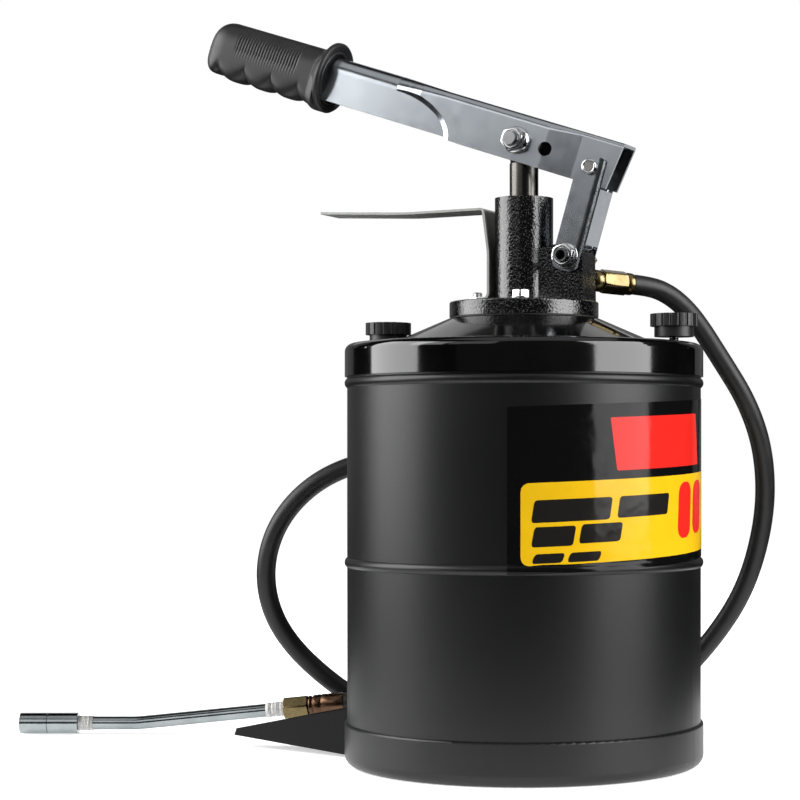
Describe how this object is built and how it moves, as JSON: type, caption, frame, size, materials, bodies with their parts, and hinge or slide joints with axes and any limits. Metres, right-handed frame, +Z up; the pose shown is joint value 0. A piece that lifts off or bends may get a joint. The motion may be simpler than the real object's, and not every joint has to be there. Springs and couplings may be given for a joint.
{
  "type": "bucket grease pump",
  "caption": "Hand-lever pump standing in a round lidded steel bucket, with a foot pedal, a hook strap and a coiled rubber delivery hose that ends in a bent tube and a grip coupler",
  "frame": {"origin": "on the floor under the centre of the bucket", "axes": "+Z up along the bucket and the pump; the lever swings in the XZ plane, its grip towards -X and its link towards +X"},
  "size_m": [0.4968, 0.2873, 0.4753],
  "materials": {
    "bucket_paint": "matte dark grey powder coat",
    "lid_paint": "gloss black paint",
    "casting": "glossy black painted sand casting",
    "label": "gloss film",
    "zinc_grey": "satin zinc-plated sheet",
    "zinc": "bright zinc plate",
    "steel": "oiled turned steel",
    "chrome": "nickel-chrome plate",
    "brass": "olive-gold passivated fitting",
    "bronze": "turned bronze",
    "rubber": "black nitrile",
    "hose_rubber": "black smooth-cover hose",
    "grip_rubber": "black moulded grip",
    "knob_plastic": "satin black",
    "white_tape": "wound thread tape"
  },
  "bodies": {
    "bucket": {"bucket_shell": "bucket_paint", "bucket_bottom": "bucket_paint", "foot_pedal": "bucket_paint", "knob_anchors": "bucket_paint", "panel_label": "label"},
    "lid_unit": {"lid": "lid_paint", "lid_gasket": "rubber", "head_gasket": "rubber", "pump_head": "casting", "rod_guide": "bronze", "rod_seal": "rubber", "seal_ring": "zinc", "flange_bolts": "zinc", "flange_nuts": "zinc", "hook_strap": "zinc", "strap_stud": "zinc", "strap_nut": "zinc", "pump_barrel": "steel", "foot_valve_body": "steel", "inlet_strainer": "steel", "lug_bolt": "zinc", "lug_nut": "zinc", "outlet_adaptor": "brass", "outlet_ferrule": "brass", "delivery_hose": "hose_rubber", "nozzle_ferrule": "brass", "nozzle_nut": "brass", "nozzle_tube": "chrome", "thread_tape_rear": "white_tape", "thread_tape_front": "white_tape", "coupler_body": "chrome", "coupler_cap": "chrome", "coupler_jaws": "steel", "coupler_seal": "rubber"},
    "foot_ball": {"foot_valve_ball": "steel"},
    "outlet_check": {"outlet_ball": "steel"},
    "rod": {"piston_rod": "steel", "piston": "bronze", "piston_cups": "rubber", "piston_nut": "steel"},
    "lever": {"lever_channel": "zinc_grey", "lever_grip": "grip_rubber", "rod_pivot_bolt": "zinc", "rod_pivot_nut": "zinc", "pivot_spacers": "steel"},
    "link_unit": {"link": "zinc_grey", "link_pin": "zinc", "link_pin_collar": "zinc"},
    "knob_left_unit": {"knob_left": "knob_plastic", "stud_left": "steel"},
    "knob_right_unit": {"knob_right": "knob_plastic", "stud_right": "steel"},
    "follower": {"follower_plate": "zinc_grey", "follower_wiper": "rubber", "follower_loop": "steel"}
  },
  "joints": [
    {"name": "lid_lift", "type": "slide", "parent": "bucket", "child": "lid_unit", "axis": [0, 0, 1], "range_m": [0, 0.26]},
    {"name": "rod_slide", "type": "slide", "parent": "lid_unit", "child": "rod", "axis": [0, 0, 1], "range_m": [-0.0199, 0.0002]},
    {"name": "lever_swing", "type": "hinge", "parent": "rod", "child": "lever", "pos_m": [0, 0, 0.3862], "axis": [0, 1, 0], "range_deg": [-20.5, 0]},
    {"name": "link_swing", "type": "hinge", "parent": "lid_unit", "child": "link_unit", "pos_m": [0.0338, 0, 0.3134], "axis": [0, 1, 0], "range_deg": [-0.1, 4.5]},
    {"name": "knob_left_turn", "type": "hinge", "parent": "lid_unit", "child": "knob_left_unit", "pos_m": [-0.0936, 0, 0.268], "axis": [0, 0, 1], "continuous": true},
    {"name": "knob_right_turn", "type": "hinge", "parent": "lid_unit", "child": "knob_right_unit", "pos_m": [0.0982, 0, 0.27], "axis": [0, 0, 1], "continuous": true},
    {"name": "follower_slide", "type": "slide", "parent": "bucket", "child": "follower", "axis": [0, 0, 1], "range_m": [-0.168, 0]},
    {"name": "foot_ball_lift", "type": "slide", "parent": "lid_unit", "child": "foot_ball", "axis": [0, 0, 1], "range_m": [0, 0.006]},
    {"name": "outlet_ball_lift", "type": "slide", "parent": "lid_unit", "child": "outlet_check", "axis": [0.6807, 0.73, -0.061], "range_m": [0, 0.002]}
  ],
  "couplings": [
    {"joint": "rod_slide", "follows": "lever_swing", "m_per_rad": 0.055147},
    {"joint": "link_swing", "follows": "lever_swing", "ratio": -0.215}
  ]
}
